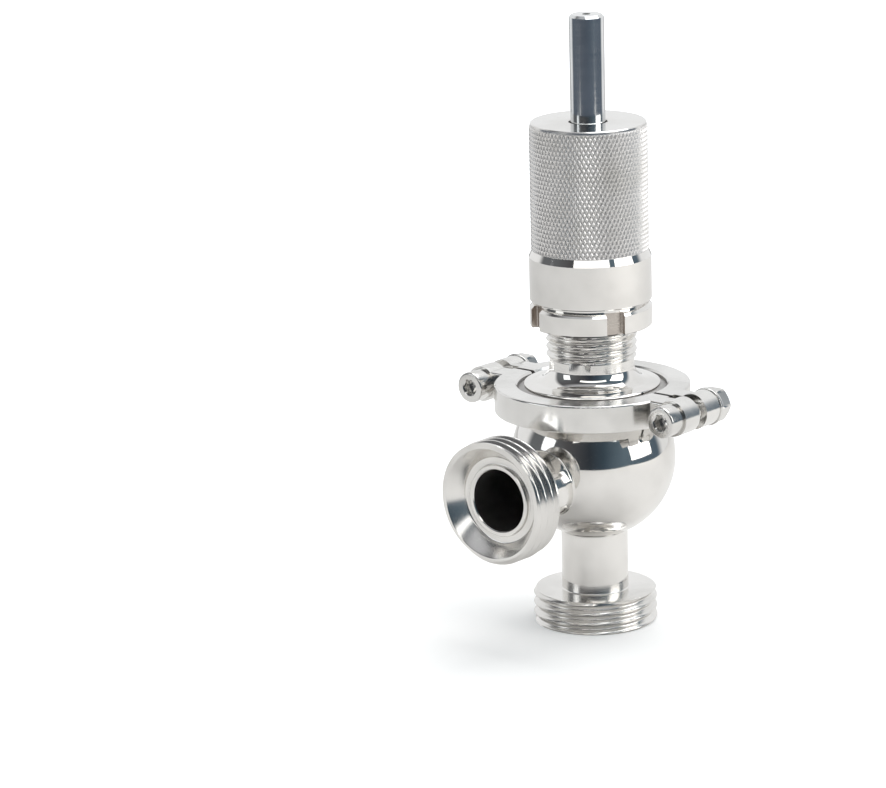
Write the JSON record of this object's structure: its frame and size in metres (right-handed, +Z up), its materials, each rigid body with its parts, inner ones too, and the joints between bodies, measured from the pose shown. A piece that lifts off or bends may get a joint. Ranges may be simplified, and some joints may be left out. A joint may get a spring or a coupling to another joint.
{
  "type": "sanitary pressure relief valve",
  "caption": "Spring-loaded sanitary angle relief valve with a clamped ball body, threaded union ports, lock ring and knurled adjusting cap.",
  "frame": {"origin": "centre of the inlet union's face, where the valve meets the pipe below it", "axes": "+Z up the valve axis from the inlet to the stem's top, +X out of the outlet, +Y to the left seen from behind the outlet looking along +X"},
  "size_m": [0.11, 0.1164, 0.2581],
  "materials": {
    "polished_stainless": "mirror polished stainless steel",
    "knurled_stainless": "satin stainless steel with a diamond knurl and a polished skirt",
    "cast_stainless": "investment cast stainless steel, tumbled and polished",
    "fastener_stainless": "stainless fastener, plain",
    "turned_stainless": "fine turned stainless steel",
    "spring_steel": "drawn stainless spring wire",
    "seal_rubber": "black sealing rubber",
    "bush_plastic": "white bearing plastic",
    "bearing_bronze": "turned bearing bronze"
  },
  "bodies": {
    "valve_body": {"inlet_union": "polished_stainless", "inlet_tube": "polished_stainless", "body_bowl": "polished_stainless", "outlet_tube": "polished_stainless", "outlet_union": "polished_stainless", "valve_seat": "turned_stainless", "body_ferrule": "polished_stainless", "body_gasket": "seal_rubber", "clamp_half_outlet": "cast_stainless", "clamp_half_rear": "cast_stainless", "clamp_screws": "fastener_stainless", "clamp_washers": "fastener_stainless", "clamp_nuts": "fastener_stainless", "bonnet": "polished_stainless", "stem_seal": "seal_rubber", "guide_bush": "bush_plastic", "relief_spring": "spring_steel"},
    "stem": {"stem": "polished_stainless", "valve_disc": "turned_stainless", "disc_seal": "seal_rubber", "seal_retainer": "turned_stainless", "disc_nut": "turned_stainless", "spring_circlip": "spring_steel", "lower_spring_plate": "turned_stainless"},
    "spring_carrier": {"upper_spring_plate": "turned_stainless", "thrust_washer": "bearing_bronze"},
    "cap": {"adjusting_cap": "knurled_stainless"},
    "lock_ring": {"lock_ring": "polished_stainless"}
  },
  "joints": [
    {"name": "stem_lift", "type": "slide", "parent": "valve_body", "child": "stem", "axis": [0, 0, 1], "range_m": [0, 0.007], "stiffness_N_per_m": 12800, "deforming": ["relief_spring"]},
    {"name": "carrier_slide", "type": "slide", "parent": "valve_body", "child": "spring_carrier", "axis": [0, 0, 1], "range_m": [0, 0.0128], "deforming": ["relief_spring"]},
    {"name": "cap_turn", "type": "hinge", "parent": "spring_carrier", "child": "cap", "pos_m": [0, 0, 0.2], "axis": [0, 0, 1], "range_deg": [0, 1440]},
    {"name": "lock_ring_turn", "type": "hinge", "parent": "valve_body", "child": "lock_ring", "pos_m": [0, 0, 0.133], "axis": [0, 0, 1], "range_deg": [-90, 0]}
  ],
  "couplings": [
    {"joint": "carrier_slide", "follows": "cap_turn", "m_per_rad": 0.00050532}
  ]
}
